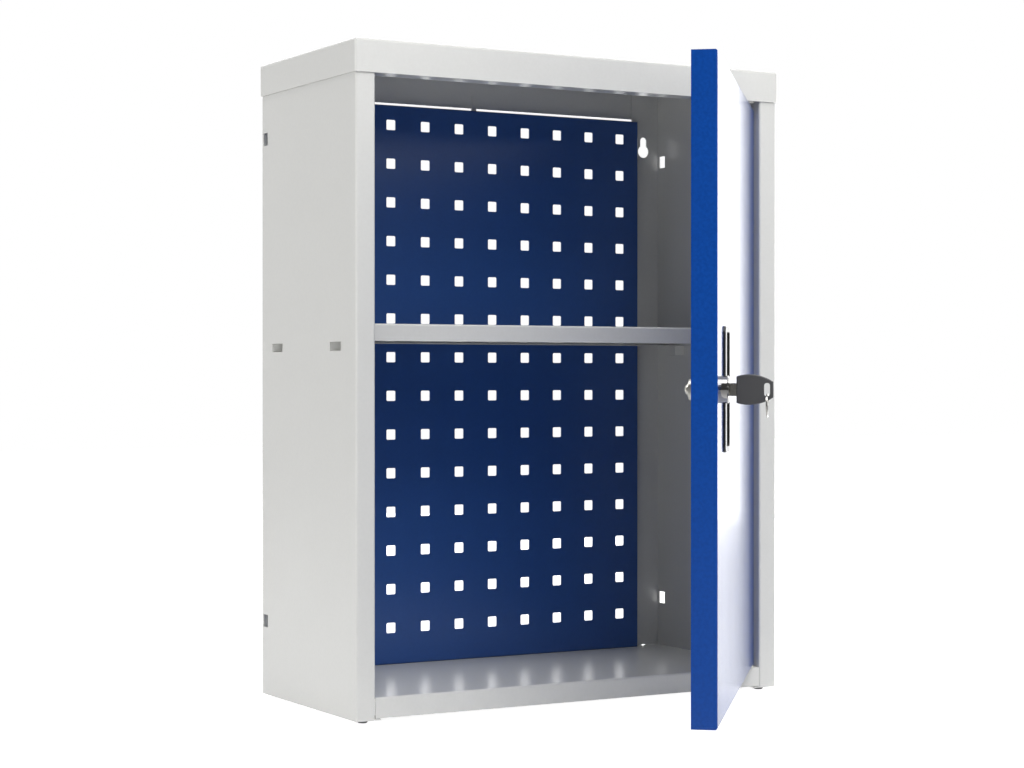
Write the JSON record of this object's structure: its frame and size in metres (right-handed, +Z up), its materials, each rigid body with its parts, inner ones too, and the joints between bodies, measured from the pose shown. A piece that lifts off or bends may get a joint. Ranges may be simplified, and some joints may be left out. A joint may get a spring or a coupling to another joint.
{
  "type": "storage cabinet",
  "caption": "Wall or bench storage cabinet in folded sheet steel with a perforated back panel, a shelf, a folded cap and a hinged lockable door with a flush pull.",
  "frame": {"origin": "centre of the base rectangle, on the plane that the feet stand on", "axes": "+X to the right, +Y to the wall side, +Z up; the door side faces -Y"},
  "size_m": [0.4566, 0.528, 0.603],
  "materials": {
    "light_grey_paint": "semi-gloss powder coat",
    "blue_paint": "semi-gloss powder coat",
    "zinc_steel": "zinc plated",
    "chrome_zinc": "chrome plated die casting",
    "nickel_steel": "nickel plated",
    "black_plastic": "moulded",
    "grey_plastic": "moulded",
    "nylon": "moulded",
    "glide_plastic": "moulded"
  },
  "bodies": {
    "cabinet": {"left_side": "light_grey_paint", "right_side": "light_grey_paint", "top_cap": "light_grey_paint", "floor_pan": "light_grey_paint", "perforated_panel": "blue_paint", "panel_rivets": "zinc_steel", "shelf": "light_grey_paint", "foot_front_left": "glide_plastic", "foot_front_right": "glide_plastic", "foot_rear_left": "glide_plastic", "foot_rear_right": "glide_plastic", "upper_hinge_bush": "nylon", "lower_hinge_bush": "nylon"},
    "door": {"door_pan": "blue_paint", "upper_hinge_pin": "zinc_steel", "lower_hinge_pin": "zinc_steel", "flush_handle": "black_plastic", "lock_housing": "chrome_zinc", "lock_nut": "zinc_steel"},
    "lock_core": {"lock_plug": "chrome_zinc", "cam": "zinc_steel", "cam_washer": "zinc_steel", "cam_screw": "zinc_steel"},
    "key": {"key_blade": "nickel_steel", "key_bow": "grey_plastic"},
    "ring": {"key_ring": "nickel_steel"}
  },
  "joints": [
    {"name": "door_hinge", "type": "hinge", "parent": "cabinet", "child": "door", "pos_m": [0.198, -0.097, 0.3], "axis": [0, 0, 1], "range_deg": [-50, 60]},
    {"name": "lock_turn", "type": "hinge", "parent": "door", "child": "lock_core", "pos_m": [-0.04562, -0.38733, 0.2955], "axis": [0.766, -0.6428, 0], "range_deg": [-180, 0]},
    {"name": "key_slide", "type": "slide", "parent": "lock_core", "child": "key", "axis": [0.766, -0.6428, 0], "range_m": [0, 0.03]},
    {"name": "ring_swing", "type": "hinge", "parent": "key", "child": "ring", "pos_m": [-0.01222, -0.41536, 0.2917], "axis": [0.6428, 0.766, 0], "range_deg": [-40, 40]}
  ]
}
